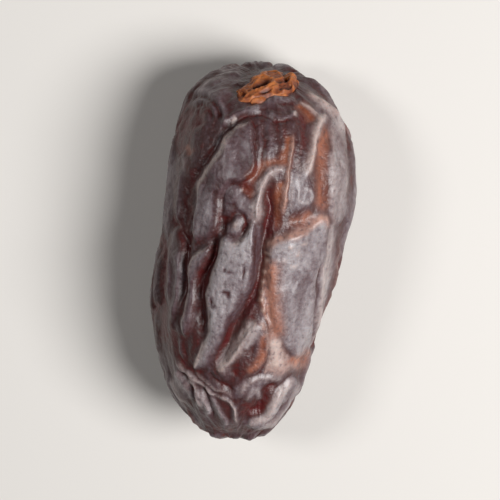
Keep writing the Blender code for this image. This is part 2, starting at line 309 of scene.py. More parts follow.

# Crests: thin folds of skin that stand up. Half-width, height; lift, then amber and pale unless they
# are 0, the pale partly a painted highlight along the ridge; points.
crests = {
    "fingerArch": (0.66, 0.72, 0.84, 0.05, 0.32, [(0.75, 3.4), (0.5, 4.9), (0.45, 6.3), (0.6, 7.8),
        (1, 9.2), (1.7, 10.3), (2.6, 10.95), (3.4, 11), (3.85, 10.4)]),
    "fanLeft": (0.26, 0.13, 0.42, [(-0.6, 18.6), (-0.2, 16.5), (0.1, 14), (-0.1, 11.4)]),
    "fanMiddle": (0.65, 0.1, 0.42, [(1, 18.4), (1.4, 15.8), (1.7, 13.6), (1.8, 12)]),
    "fanRight": (0.26, 0.08, 0.36, [(2.6, 18), (3, 15.8), (3.2, 13.6)]),
    "panelFoldA": (0.26, 0.09, 0.36, [(5.2, 16.8), (5.5, 14.4), (5.4, 12.2)]),
    "panelFoldB": (0.28, 0.09, 0.36, [(6.4, 17.6), (6.4, 15.2), (6.2, 13), (6.3, 11.4)]),
    # painted highlight: the upper left rim, on the side facing the light, is made pale
    "upperLeftRim": (0.36, 0.28, 1, 0, 0.5, [(-1.3, 17.4), (-2.4, 16.8), (-3.7, 15.9), (-4.5, 14.9),
        (-5.1, 13.2), (-5.7, 12), (-6.6, 10.7), (-7.4, 9.3), (-7.8, 7.5), (-8, 5.5)]),
    "rightRidge": (0.48, 0.5, 0.95, 0.05, 0.55, [(9.2, 19.2), (8.3, 18.6), (7.8, 17.4), (7.5, 15.6),
        (7.35, 13.6), (7.1, 11.8), (6.8, 10.2)]),
    "shoulderRim": (0.55, 0.35, 0.88, 0, 0.3, [(7.4, 20.9), (8.8, 20.2), (9.9, 19.3), (10.8, 18),
        (11.3, 16.4)]),
    "amberLine": (0.25, 0.3, 0.5, 0.6, 0.3, [(4.5, 16.2), (4.45, 14), (4.35, 12), (4.2, 10), (4.1, 8.2),
        (4.2, 6.4), (4.3, 4.6)]),
    "diagonal": (0.4, 0.34, 0.7, 0.7, 0.25, [(2.3, -0.3), (2.7, 0.7), (3.5, 1.6), (4.6, 2.2), (6, 2.6),
        (7.4, 3.3), (8.5, 4.3), (9.3, 5), (10, 4.6), (10.5, 3.2)]),
    "beadLine": (0.22, 0.26, 0.45, 0.6, 0.1, [(2.45, 0.1), (2.35, -1.2), (2.4, -2.8), (2.3, -4.5),
        (2.2, -6.2), (2.5, -7.4), (3, -8.8), (3.5, -10.2), (3.8, -11.6), (3.9, -13)]),
    "bigRightFlank": (0.42, 0.34, 0.95, 0, 0.35, [(10.4, 3), (10.6, 0.8), (10.4, -2), (10.15, -5), (10, -8),
        (9.95, -11), (9.6, -13)]),
    "orangeFoot": (0.8, 0.3, 0.6, 0.95, 0.05, [(6.4, -13.7), (7.3, -14.2), (8.3, -14.2), (9.2, -13.6),
        (9.9, -12.6)]),
    "triangleLeft": (0.62, 0.16, 1, 0, 0.45, [(1.8, -9.4), (1.1, -10.4), (0.2, -11.8), (-0.7, -13.2),
        (-1.5, -14.6), (-2.4, -15.8), (-3.2, -16.6)]),
    "trianglePatch": (0.62, 0.06, 0.84, 0, 0.15, [(2.2, -9.9), (1.7, -11), (1.1, -12.2), (0.4, -13.4)]),
    "junctionHeart": (0.62, 0.12, 0.95, 0, 0.8, [(4.2, -11.6), (4.6, -13), (5, -14.4), (5.2, -15.6)]),
    "leftValleyLine": (0.15, 0.32, 0.34, [(-5.5, -2.4), (-5.95, -4.2), (-6.05, -6.2), (-6, -8.2),
        (-5.85, -10.4)]),
    "panelRing": (0.18, 0.14, 0.9, 0, 0.1, [(6.5, 8.9), (7.4, 8.5), (7.7, 7.6), (7.1, 6.7), (6.2, 6.9),
        (5.9, 7.8), (6.3, 8.6)]),
    "triangleRight": (0.28, 0.2, 0.6, 0.4, 0.25, [(1.9, -9.4), (2.6, -10), (3.2, -10.9), (3.7, -12.2),
        (3.8, -13.8)]),
    "centreFoot": (0.17, 0.3, 0.9, 0, 0.5, [(-5.1, -12.6), (-5.5, -14.2), (-6, -15.6), (-6.5, -16.8)]),
    "lowerLeftEdge": (0.18, 0.42, 0.85, 0, 0.3, [(-9.2, -15.3), (-8.2, -16.5), (-7.2, -17.4), (-6, -18.3),
        (-4.7, -19.1), (-3.6, -19.7), (-2.6, -20.1), (-1.5, -20.3), (-0.7, -20.9), (-0.25, -21.8),
        (0.05, -23), (0.6, -24)]),
    "lowerLeftInner": (0.16, 0.28, 0.6, 0, 0.25, [(-6.4, -17), (-5.2, -18), (-3.9, -18.8), (-2.6, -19.3),
        (-1.4, -19.6), (-0.4, -20.2)]),
    "belowArch": (0.42, 0.3, 0.66, 0, 0.18, [(0.1, -19.6), (0.9, -18.5), (2, -17.6), (3.4, -17),
        (4.9, -16.9), (6.2, -16.9)]),
    "belowInner": (0.3, 0.22, 0.65, 0, 0.1, [(1.2, -20.4), (1.7, -19.4), (2.5, -18.8), (3.2, -19.4),
        (3.3, -20.4)]),
    "crescentInner": (0.26, 0.22, 0.95, 0, 0.35, [(7.1, -16.7), (6.3, -18.1), (5.5, -19.3), (4.8, -20.6),
        (4.2, -21.9), (3.4, -22.7), (2.3, -23)]),
    "crescentOuter": (0.42, 0.16, 0.85, 0, 0.2, [(8, -16.9), (7.7, -18.4), (7.1, -20), (6.2, -21.5),
        (5, -22.9), (3.8, -23.8)]),
    "lowFoldA": (0.22, 0.3, 0.5, [(-8.4, -12.4), (-8.6, -13.6), (-8.3, -14.8), (-7.4, -15.6)]),
    "lowFoldE": (0.3, 0.35, 0.75, 0, 0.2, [(-9.4, -18.2), (-8.4, -19.8), (-7.2, -21.4)]),
    "lowFoldF": (0.26, 0.35, 0.85, 0, 0.3, [(-7.4, -18), (-6.2, -19), (-5.4, -20.4), (-4.9, -21.8)]),
    "lowFoldB": (0.48, 0.42, 0.75, 0, 0.1, [(-8.9, -16.9), (-8, -18.2), (-7, -19.6), (-6.2, -20.8)]),
    "lowFoldC": (0.46, 0.45, 0.8, 0, 0.12, [(-5.8, -19.4), (-4.8, -20.4), (-4.1, -21.6), (-3.4, -22.8)]),
    "lowFoldD": (0.34, 0.35, 0.7, 0, 0.05, [(-4, -20), (-2.8, -21.2), (-1.9, -22.5), (-1.1, -24)]),
    "collarInner": (0.35, 0.38, 0.55, [(-5.6, 16), (-5, 17), (-4, 17.9), (-2.8, 18.6), (-1.2, 19.2),
        (0.4, 19.6)]),
    "collarUnder": (0.45, 0.28, 0.6, [(-0.2, 20.3), (1.2, 20.7), (2.8, 20.8), (4.2, 20.4)]),
    "collarRight": (0.22, 0.28, 0.5, [(0.8, 19), (1.8, 18.4), (2.8, 18.3), (3.8, 18.5), (4.7, 19.2)]),
    "shoulderA": (0.2, 0.28, 0.7, 0.1, 0.45, [(4.8, 20.9), (6, 20.2), (7.2, 19.4), (8.1, 18.7)]),
    "shoulderB": (0.3, 0.3, 0.75, 0.1, 0.45, [(5.8, 22.2), (7.2, 21.4), (8.4, 20.6), (9.4, 19.8),
        (10.3, 18.7)]),
    "leftTopA": (0.42, 0.4, 0.6, [(-10.4, 18.6), (-10, 20.1), (-8.6, 20.9), (-7, 20.4), (-5.9, 19.3),
        (-5.1, 17.8), (-5.4, 16.2)]),
    "leftTopB": (0.22, 0.28, 0.5, [(-9.8, 18.4), (-9, 19.5), (-7.8, 19.5), (-6.8, 18.6), (-6.3, 17.4)]),
    "leftTopC": (0.3, 0.22, 0.62, 0, 0.15, [(-10.3, 11.6), (-9.8, 10.8), (-10, 9.6)]),
    "collarSpotLeft": (0.22, 0.18, 0.9, 0, 0.5, [(-4.2, 16.9), (-3.6, 17.7)]),
    "collarSpotRight": (0.26, 0.25, 0.9, 0, 0.5, [(4.5, 18.5), (4.6, 19.3)]),
    "leftFlankA": (0.35, 0.45, 0.5, [(-10.6, 12.6), (-11.1, 10), (-11.4, 7), (-11.4, 4), (-11.5, 1),
        (-11.4, -1.5)]),
    "leftFlankB": (0.3, 0.3, 0.45, [(-10.1, 10), (-10.2, 6), (-10.1, 2.5)]),
    "leftFlankC": (0.4, 0.38, 0.5, [(-9.7, -0.5), (-9.4, -3.5), (-9.4, -7), (-9.7, -10.5)]),
    "leftFlankD": (0.3, 0.35, 0.5, [(-10.6, -1.5), (-10.6, -5), (-10.9, -8.5)]),
}

# Furrows, where the skin still sticks to the flesh: the same, with a depth for the height
furrows = {
    "leftRedStrip": (0.5, 0.3, 0.08, [(-9.2, 5.5), (-9.3, 3), (-9.2, 1), (-9.1, -0.8)]),
    "outsideUpperLeft": (0.45, 0.45, 0.18, [(-1.9, 18), (-3.4, 17), (-4.9, 15.8), (-5.7, 14.3),
        (-6.4, 12.8), (-7.5, 11.1), (-8.3, 9.5), (-8.7, 7.5)]),
    "upperCentre": (0.5, 0.2, 0.14, [(0.3, 17.2), (0.4, 15), (0.5, 13), (0.5, 11.2), (0.2, 9.2)]),
    "upperMiddle": (0.4, 0.1, 0.22, [(1.9, 17.5), (2.3, 15), (2.6, 12.5)]),
    "amberBand": (0.75, 0.26, 0.38, 0.72, [(9.2, 18.2), (8.9, 16), (8.85, 13), (9, 10), (9.3, 7.5),
        (9.8, 5.6)]),
    "amberMiddle": (0.5, 0.25, 0.25, 0.75, [(3.3, 9.6), (3.2, 7), (3.4, 4.5), (3.6, 2.8)]),
    "underPanel": (0.6, 0.2, 0.35, 0.6, [(5, 4.2), (6.2, 4.2), (7.4, 4.7), (8.4, 5.6)]),
    "redPatch": (0.6, 0.3, 0.12, 0.35, [(-2, 8.1), (-1, 7.8), (0, 7.1)]),
    "lowCentre": (0.8, 0.2, 0.15, [(1.4, -20.6), (1.7, -21.6), (1.2, -22.8)]),
    "lowLeftValley": (0.3, 0.35, 0.14, [(-4.4, -16.9), (-3, -17.9), (-1.6, -18.7), (-0.4, -19.2)]),
    "crescentValley": (0.5, 0.5, 0.06, [(5.2, -17.4), (4.3, -18.6), (3.6, -20), (3.1, -21.3),
        (1.9, -22.1)]),
}

# Furrows that cut into the plates, made after them
lateFurrows = {
    "fingerValley": (0.76, 1.1, 0, [(2.3, 9.9), (1.95, 8.6), (2, 7), (2.3, 5.4), (2.15, 3.6), (2, 1.6),
        (1.8, 0), (1.85, -2), (1.8, -4), (1.4, -5.8), (0.6, -7.2), (-0.1, -8.4), (-0.7, -10), (-1.5, -11.9),
        (-2.3, -13.8), (-3.1, -15.8)]),
    "triangleSide": (0.36, 0.25, 0.05, [(0.5, -9.3), (-0.4, -10.8), (-1.3, -12.6), (-2.2, -14.3),
        (-3.1, -15.9)]),
    "centreSlope": (0.62, 0.1, 0.46, [(1.1, 4.2), (1.15, 2.4), (1.1, 0.4), (1, -1.8), (0.9, -3.8),
        (0.3, -5.6), (-0.7, -7.4), (-1.5, -9.4), (-2.2, -11.2)]),
    "leftValley": (0.5, 0.9, 0.02, [(-4.5, 1.8), (-4.9, 0.2), (-5.2, -1.4), (-5.8, -2.9), (-6.15, -4.4),
        (-6.3, -6.2), (-6.2, -8.2), (-6, -10.2), (-5.8, -12)]),
    "leftDark": (0.36, 0.7, 0.04, [(-8.5, 4.4), (-8.6, 2), (-8.75, 0), (-8.8, -2.4), (-8.75, -5),
        (-8.8, -8)]),
    "archRed": (0.62, 0.1, 0.16, 0.55, [(-1.3, 8.8), (-0.4, 9.8), (0.3, 10.9), (1.2, 11.6), (2.4, 11.9),
        (3.6, 11.8)]),
    "lowSlitA": (0.24, 0.4, 0.05, [(-8.2, -17), (-7, -18.4), (-6.2, -19.8), (-5.6, -21.4)]),
    "lowSlitB": (0.24, 0.4, 0.05, [(-5.2, -18.9), (-4.2, -20.2), (-3.6, -21.6), (-2.9, -23)]),
    "shoulderRed": (0.6, 0.2, 0.14, 0.6, [(4.7, 20.5), (5.7, 19.8), (6.6, 18.9), (7.1, 17.9)]),
    "amberLeft": (0.45, 0.06, 0.28, 0.8, [(3.8, 16), (3.7, 14.4), (3.6, 12.8), (3.6, 11.2)]),
    "leftTopSlitA": (0.2, 0.4, 0.06, [(-10.5, 18.3), (-10, 19.4), (-9, 20.2), (-7.8, 20.1), (-6.8, 19.3),
        (-6, 18.2), (-5.6, 17)]),
    "leftTopSlitB": (0.18, 0.35, 0.06, [(-10, 17.4), (-9.3, 18.4), (-8.3, 18.8), (-7.3, 18.2),
        (-6.6, 17.2)]),
    "leftTopHollow": (0.85, 0.4, 0.14, [(-9.6, 17.9), (-8.9, 17), (-8.3, 16)]),
    "leftTopAmber": (0.4, 0.1, 0.4, 0.55, [(-10.3, 13.2), (-9.7, 12.7), (-9.2, 12)]),
    "collarSlit": (0.22, 0.34, 0.08, [(-4.8, 16.6), (-3.6, 17.6), (-2.2, 18.2), (-0.6, 18.5), (0.6, 18.3),
        (1.7, 17.7), (2.8, 17.7), (3.8, 18.1), (4.7, 18.9)]),
    "collarShade": (0.22, 0.3, 0.12, [(1.4, 20.2), (2.8, 20.1), (4.1, 20.3)]),
    "leftDiagonal": (0.28, 0.55, 0.05, [(-11, 3), (-10.2, 1.9), (-9.4, 0.6), (-8.9, -1)]),
    "leftOuter": (0.4, 0.6, 0.04, [(-11.8, 10), (-12, 5), (-12, 0), (-12, -5), (-11.6, -10)]),
    "footSide": (0.5, 0.14, 0.34, [(-4.6, 7.6), (-4.7, 5.6), (-4.65, 3.6), (-4.5, 2.2)]),
    "crater": (0.38, 0.34, 0.14, [(-3.3, 2.9), (-3, 3.9), (-2.4, 4.6), (-1.6, 4.6), (-1, 3.9), (-0.9, 2.9),
        (-1.4, 1.9)]),
    "craterCrack": (0.28, 0.2, 0.3, [(-3, 6), (-2.4, 5.3), (-1.7, 4.7)]),
    "craterLeft": (0.4, 0.45, 0.14, [(-3.6, 4.2), (-3.9, 3), (-3.9, 1.9)]),
    "bigRightShade": (0.9, 0.08, 0.6, [(5.2, -3.9), (6.6, -3.5), (8.4, -3)]),
    "bigRightLine": (0.22, 0.36, 0.35, [(9.6, -0.5), (9.4, -3.5), (9.3, -7), (9.35, -10), (9.4, -12)]),
    "triangleValley": (1.1, 0.15, 0.18, [(1.6, -12.5), (0.9, -14.2), (0.1, -15.8), (-0.7, -17.3)]),
    "triangleAmber": (0.42, 0.05, 0.45, 0.75, [(2.9, -10.8), (3.1, -12.4), (3, -14), (2.2, -15.4),
        (1, -16.6)]),
    "crescentLine": (0.2, 0.36, 0.4, [(7.5, -17.6), (6.8, -19.2), (5.9, -20.8), (4.9, -22.3),
        (3.6, -23.4)]),
    "orangeRim": (0.8, 0, 0.62, 0.85, 0.1, [(3, -0.8), (3.3, -2.8), (3.5, -5), (3.8, -7.5), (4.3, -9.6),
        (5.2, -11.8)]),
}

# Pits sunk into the plates, and beads with a depth below 0, painted pale as glints, a painted highlight.
# Middle, half-sizes, depth.
pits = [
    ((-2.7, -3.25), (0.62, 0.17), 0.22), ((-3.2, -2.9), (0.16, 0.28), 0.18),
    ((-0.55, -3.2), (0.17, 0.75), 0.28), ((-2.7, -5.9), (0.5, 0.18), 0.2),
    ((-2.25, -6.3), (0.24, 0.4), 0.22), ((-4.5, -7.3), (0.18, 0.55), 0.2),
    ((-4.1, -7.9), (0.35, 0.15), 0.15), ((-4.7, -9.2), (0.16, 0.4), 0.15),
    ((-2.2, 3.1), (0.45, 0.45), -0.12), ((5.3, 0.9), (0.35, 0.22), -0.14), ((6.4, 0.1), (0.22, 0.4), -0.12),
    ((7.2, 1.3), (0.4, 0.2), -0.12), ((4.6, -1), (0.25, 0.35), -0.12), ((5.9, -1.6), (0.4, 0.22), -0.1),
    ((2.5, -0.5), (0.28, 0.24), -0.22), ((2.45, -1.5), (0.22, 0.28), -0.2),
    ((2.42, -2.9), (0.26, 0.26), -0.24), ((2.35, -4.4), (0.22, 0.24), -0.18),
    ((2.25, -5.6), (0.24, 0.28), -0.2), ((2.35, -6.6), (0.28, 0.26), -0.24),
    ((2.55, -7.9), (0.28, 0.24), -0.22),
]

# How the placed folds are drawn: "In" and "Out" are distances from a plate's outline
drawn = {
    "plainLift": 0.30,                 # how far ordinary skin has lifted
    "bend": 0.17,                      # how far the folds wander
    "bendNoise": ((1.7, 11, 1.0), (0.8, 13, 0.5)),  # size, seed and share
    "grooveOut": 0.12, "grooveWidth": 0.2, "grooveLift": 2.2,
    # the painted highlight on plate edges: how far in, how wide, and the step towards the light in the
    # picture
    "paintedHighlightIn": 0.32, "paintedHighlightWidth": 0.26, "paintedLightStep": np.array([0.20, -0.15]),
    "beadIn": 0.45, "beadWidth": 0.4, "sagOver": 1.6, "taperLow": 0.3,
    "fade": 0.35, "fadeBelow": 0.8, "fadeUneven": 0.5, "unevenPlates": 2.6,
    "crestUneven": 0.45, "unevenCrests": 1.4, "crestSharpness": 1.2,
    "pitLift": 0.7, "paintedBeadGlint": 3.5,
}


# Which places lie within reach of a line
def nearLine(places, line, reach):
    return np.where(((places > line.min(0) - reach) & (places < line.max(0) + reach)).all(1))[0]


# Noise for a fold, its own by the number of points in its line
def unevenness(places, line, size, seed):
    return latticeNoise(np.column_stack([places, np.full(len(places), len(line))]), size, seed)


# A finish covers what is under it: it moves towards the amount wanted, by how much it covers
def cover(skin, near, amount, wanted):
    for finish, value in zip_longest(finishes, wanted, fillvalue=0.0):
        skin[finish][near] += (value - skin[finish][near]) * amount


# Plate: rises from its outline as one minus an exponential, with a bead just inside the edge, a
# middle that sinks slowly, and a thin dark groove round it. Its upper left edges, facing the light,
# are crisp and paler, a painted highlight; the others fade into the skin round them, here more and
# there less, most on the side turned away from the light, a painted softening of the edge.
def addPlate(skin, places, plate):
    height, edge, bead, sag, groove, light, lift, amber, pale, outline, *taper = plate
    line = smoothLine(outline, closed=True)
    near = nearLine(places, line, 0.8)
    inside = distanceInside(places[near], line)
    step = drawn["paintedLightStep"]
    facing = (distanceInside(places[near] + step, line) - inside) / np.linalg.norm(step)
    uneven = unevenness(places[near], line, drawn["unevenPlates"], 62)
    # painted light: a finish's edge fades most where the plate's edge is turned away from the light
    fade = (drawn["fade"] + drawn["fadeBelow"] * smooth(-facing, 0.0, 1.0)
            + drawn["fadeUneven"] * np.maximum(uneven, 0.0))
    deep = np.maximum(inside, 0.0)
    rise = height * (1.0 - np.exp(-deep / edge))
    rise += bead * bell(deep - drawn["beadIn"], drawn["beadWidth"]) * smooth(inside, -0.1, 0.3)
    rise -= sag * (1.0 - np.exp(-deep / drawn["sagOver"]))
    if taper:
        rise *= drawn["taperLow"] + (1.0 - drawn["taperLow"]) * smooth(places[near, 1], *taper)
    dent = groove * bell(inside + drawn["grooveOut"], drawn["grooveWidth"]) * smooth(uneven, -0.4, 0.5)
    skin["height"][near] += rise - dent
    cover(skin, near, smooth(inside, -0.25, fade), (lift, amber, pale))
    skin["lift"][near] -= drawn["grooveLift"] * dent
    # painted highlight: the edges facing the upper left are made paler and more lifted in colour, as if
    # catching the light
    paintedRimHighlight = light * bell(inside - drawn["paintedHighlightIn"], drawn["paintedHighlightWidth"]) * smooth(facing, 0.1, 0.8)
    skin["lift"][near] += 0.5 * paintedRimHighlight
    skin["pale"][near] += paintedRimHighlight


# The places near a line, how far off it they are, and how much is left of it as it fades at its ends
def besideLine(places, line, reach, ends):
    near = nearLine(places, line, reach)
    away, share = distanceToLine(places[near], line)
    return near, away, smooth(share, -0.02, ends) * smooth(1.0 - share, -0.02, ends)


# Crest: a narrow peak, one over e at its half-width, fading at both ends and uneven along its run
def addCrest(skin, places, crest):
    halfWidth, height, *finish, points = crest
    line = smoothLine(points)
    near, away, fade = besideLine(places, line, 4.0 * halfWidth, 0.15)
    uneven = 1.0 + drawn["crestUneven"] * unevenness(places[near], line, drawn["unevenCrests"], 61)
    width = halfWidth * (0.4 + 0.6 * uneven)
    skin["height"][near] += height * fade * uneven * np.exp(-((away / width) ** drawn["crestSharpness"]))
    cover(skin, near, fade * bell(away, 1.1 * width), finish)


# Furrow: a bell-shaped trough, fading at both ends
def addFurrow(skin, places, furrow):
    halfWidth, depth, *finish, points = furrow
    near, away, fade = besideLine(places, smoothLine(points), 3.0 * halfWidth, 0.14)
    skin["height"][near] -= depth * fade * bell(away, halfWidth)
    cover(skin, near, fade * bell(away, 1.25 * halfWidth), finish)


# Plain skin with no folds yet
def plainSkin(count, lift):
    skin = {name: np.zeros(count) for name in ("height",) + finishes}
    skin["lift"] += lift
    return skin


# The skin that the photograph shows
def pictureSkin(points):
    bend = sum(share * noiseAxes(points, size, seed, 2) for size, seed, share in drawn["bendNoise"])
    places = picturePlace(points) + drawn["bend"] * bend
    skin = plainSkin(len(points), drawn["plainLift"])
    layers = ((furrows, addFurrow), (plates, addPlate), (lateFurrows, addFurrow), (crests, addCrest))
    for folds, add in layers:
        for fold in folds.values():
            add(skin, places, fold)
    for middle, half, depth in pits:
        hollow = np.exp(-(((places - middle) / half) ** 2).sum(1))
        skin["height"] -= depth * hollow
        skin["lift"] -= drawn["pitLift"] * hollow * (depth > 0)
        # painted highlight: the beads are made paler as glints
        skin["pale"] -= drawn["paintedBeadGlint"] * min(depth, 0.0) * hollow
    return skin


# Wrinkles all over, on the fruit unrolled into a cylinder so that they gather at its ends: long
# folds, shorter ones between them, and a slow swell that keeps the plates from being flat
unrolled = {"radius": 11.0, "endRadius": 3.5, "narrowFrom": 23.0, "narrowTo": 33.0}
wrinkles = {
    "long": 0.20, "longSize": (9.0, 1.7, 1.7),
    "short": 0.10, "shortSize": (3.0, 1.1, 1.1),
    "swell": 0.24, "swellSize": (4.0, 2.4, 2.4),
    "dimple": 0.16, "dimpleSize": (2.4, 1.5, 1.5),
    "bendSize": 3.2, "bend": np.array([1.6, 0.9, 0.9]),
    "sparePlaced": 0.85,               # fewer folds where they are placed one by one
    "dimpleSparePlaced": 0.45,
}


def allOverWrinkles(flat, lift, placed):
    moved = flat + noiseAxes(flat, wrinkles["bendSize"], 41) * wrinkles["bend"]
    calm = (1.0 - smooth(lift, 0.5, 0.8)) * (1.0 - wrinkles["sparePlaced"] * placed)
    longFolds, shortFolds, dimples = [wrinkles[name] * (foldNoise(moved, wrinkles[name + "Size"], seed) - 0.4)
                                      for name, seed in (("long", 51), ("short", 52), ("dimple", 54))]
    swell = wrinkles["swell"] * latticeNoise(flat, wrinkles["swellSize"], 53)
    return (longFolds * (0.15 + 0.85 * calm) + shortFolds * (0.35 + 0.65 * calm) + swell
            + dimples * (1.0 - wrinkles["dimpleSparePlaced"] * placed))


# The skin that the photograph doesn't show: long cells, as a Voronoi pattern whose distances are
# squeezed along the fruit. Where two cells meet, the skin is a furrow or a crest by turns.
hidden = {
    "cells": 54, "stretch": 2.3, "seed": 5,
    "turn": math.radians(137.5),       # from one cell to the next, so that they spread evenly
    "reach": 26.0, "jitterAlong": 1.5, "jitterAround": 0.25,
    "bendSize": 5.0, "fineBendSize": 1.6, "fineBend": 0.3, "bend": np.array([2.2, 1.1, 1.1]),
    "puff": 0.85, "crest": 0.45, "crestLift": 0.34, "crestPale": 0.14, "crestAmber": 0.25,
}


def hiddenSkin(flat):
    cells = hidden["cells"]
    draw = np.random.default_rng(hidden["seed"])
    order = np.arange(cells)
    station = 2.0 * hidden["reach"] * (order + 0.5) / cells - hidden["reach"]
    station += draw.uniform(-hidden["jitterAlong"], hidden["jitterAlong"], cells)
    around = order * hidden["turn"] + draw.uniform(-hidden["jitterAround"], hidden["jitterAround"], cells)
    radius = unrolled["radius"]
    seeds = np.stack([station, radius * np.sin(around), radius * np.cos(around)], -1)
    bend = noiseAxes(flat, hidden["bendSize"], 21)
    bend += hidden["fineBend"] * noiseAxes(flat, hidden["fineBendSize"], 31)
    warped = flat + bend * hidden["bend"]
    away = np.linalg.norm((warped[:, None] - seeds[None]) * [1.0 / hidden["stretch"], 1.0, 1.0], axis=2)
    nearest = np.argsort(away, axis=1)[:, :2]
    first, second = np.take_along_axis(away, nearest, 1).T
    edge = (second - first) * 0.6
    luck = np.random.default_rng(77).uniform(0.0, 1.0, (cells, cells))[nearest.min(1), nearest.max(1)]
    own = np.random.default_rng(78).uniform(0.0, 1.0, cells)[nearest[:, 0]]
    crest = smooth(luck, 0.45, 0.75)
    puff = hidden["puff"] * (1.0 - np.exp(-edge / 0.5)) * (0.7 + 0.4 * own)
    sunk = hidden["puff"] * 0.5 + hidden["crest"] * np.exp(-edge / 0.3)
    lift = 0.08 + (0.2 + 0.45 * own) * smooth(edge, 0.05, 1.2)
    return {
        "height": puff * (1.0 - crest) + sunk * crest,
        "lift": lift * (1.0 - crest) + (hidden["crestLift"] + 0.25 * own) * crest,
        "pale": crest * np.exp(-edge / 0.25) * hidden["crestPale"],
        "amber": crest * np.exp(-edge / 0.7) * hidden["crestAmber"],
    }


# Softens a value over the grid of the skin: a point takes a quarter from each of its neighbours,
# first around the fruit and then along it
def soften(values):
    grid = values.reshape(fruit["rows"], fruit["columns"])
    grid = grid / 2 + (np.roll(grid, 1, axis=1) + np.roll(grid, -1, axis=1)) / 4
    padded = np.vstack([grid[:1], grid, grid[-1:]])
    return (grid / 2 + (padded[:-2] + padded[2:]) / 4).ravel()


# The skin smooths out at the two poles of the form, and the picture's folds give way to the hidden
# ones where the skin turns away from the camera (cosines)
poleSkin = {"height": 0.5, "lift": 0.35, "from": 0.3, "to": 3.4}
shownCosines = (0.08, 0.34)


# Fruit: the form, moved along its normals by the skin's height
def makeFruit(material):
    polar, along = evenPolar(fruit["rows"])
    turn = np.arange(fruit["columns"]) / fruit["columns"] * 2.0 * np.pi
    turn = turn - fruit["crowding"] * np.sin(turn)
    polars, arounds = np.meshgrid(polar, turn, indexing="ij")
    rings = fruitForm(polars, arounds)
    rings = rings + formShift(rings)
    normals = ringNormals(rings).reshape(-1, 3)
    points = rings.reshape(-1, 3)

    along = np.broadcast_to(along[:, None], arounds.shape)
    narrow = smooth(np.abs(along), unrolled["narrowFrom"], unrolled["narrowTo"])
    radius = unrolled["radius"] + (unrolled["endRadius"] - unrolled["radius"]) * narrow
    flat = np.stack([along, radius * np.sin(arounds), radius * np.cos(arounds)], -1)
    flat = flat.reshape(-1, 3)

    shown = smooth(normals @ toCamera, *shownCosines)
    inPicture, behind = pictureSkin(points), hiddenSkin(flat)
    skin = {name: shown * inPicture[name] + (1.0 - shown) * behind[name] for name in inPicture}
    skin["height"] += allOverWrinkles(flat, skin["lift"], shown)
    clear = smooth(np.hypot(points[:, 1], points[:, 2] - fruitMiddle), poleSkin["from"], poleSkin["to"])
    for name in ("height", "lift"):
        skin[name] = poleSkin[name] + (skin[name] - poleSkin[name]) * clear

    points = points + normals * (soften(skin["height"]) - fruit["inset"])[:, None]
    points[:, 2] = (points[:, 2] + np.sqrt(points[:, 2] ** 2 + fruit["bellyTurn"] ** 2)) / 2
    values = {name: (skin[name], 0.0) for name in finishes}
    return makePiece("dateSkin", points.reshape(rings.shape), material, values)


# Colours are sRGB hex values, turned to linear light
def linear(hexColour):
    parts = [int(hexColour[i:i + 2], 16) / 255.0 for i in (1, 3, 5)]
    return [p / 12.92 if p <= 0.04045 else ((p + 0.055) / 1.055) ** 2.4 for p in parts] + [1.0]


# Adds a node with its settings and its inputs: by name, or by number after an underscore. An input
# is set to a value, or linked to a socket or to a node's first output in use.
def node(tree, kind, settings=None, **inputs):
    made = tree.nodes.new("ShaderNode" + kind)
    for name, value in (settings or {}).items():
        setattr(made, name, value)
    for name, value in inputs.items():
        key = int(name[1:]) if name[1:].isdigit() else name.replace("_", " ")
        if isinstance(value, bpy.types.Node):
            value = next(output for output in value.outputs if output.enabled)
        if isinstance(value, bpy.types.NodeSocket):
            tree.links.new(value, made.inputs[key])
        else:
            made.inputs[key].default_value = value
    return made


# Stops of a colour ramp: positions and colours
def setStops(ramp, stops):
    elements = ramp.color_ramp.elements
    while len(elements) < len(stops):
        elements.new(0.5)
    for element, (position, colour) in zip(elements, stops):
        element.position = position
        element.color = linear(colour)


# An empty material and its node tree
def newMaterial(name):
    material = bpy.data.materials.new(name)
    material.use_nodes = True
    material.node_tree.nodes.clear()
    return material, material.node_tree


# Dried date skin: a thin translucent membrane, sun-dried over dark flesh. It is a dry waxy grey
# where it has lifted, amber where a fold lets light through, glossy red-brown where it still sticks.
# Its pale colour is partly pale dry skin and partly a painted highlight on rims, ridges and beads.
dateSkin = {
    "lift": [(0.0, "#4e0f11"), (0.12, "#4c1a18"), (0.28, "#412424"), (0.48, "#533e42"),
             (0.72, "#736669"), (1.0, "#999092")],
    "pale": "#c4a99d", "amber": "#a8613f", "amberDark": "#7a4029",
    "fleck": "#48363a", "fleckAmount": 0.4, "speck": "#b9b2b0", "speckAmount": 0.3,
    "mottleMm": 1.5, "streakLength": 3.0, "speckMm": 0.6, "grainMm": 0.2,
    "broad": 0.16, "close": 0.10,      # how much the two coarser noises break up the lift
    "roughness": 0.50, "roughnessSunk": 0.42, "ior": 1.48,
    "coat": 0.40, "coatSunk": 0.16, "coatRoughness": 0.28,
    "bumps": ((0.2, 0.08), (0.55, 0.32), (0.5, 0.22)),  # strength and mm: grain, speck, streak
    "through": 0.12, "throughMm": 1.0, "throughRatio": (1.0, 0.35, 0.2),
}


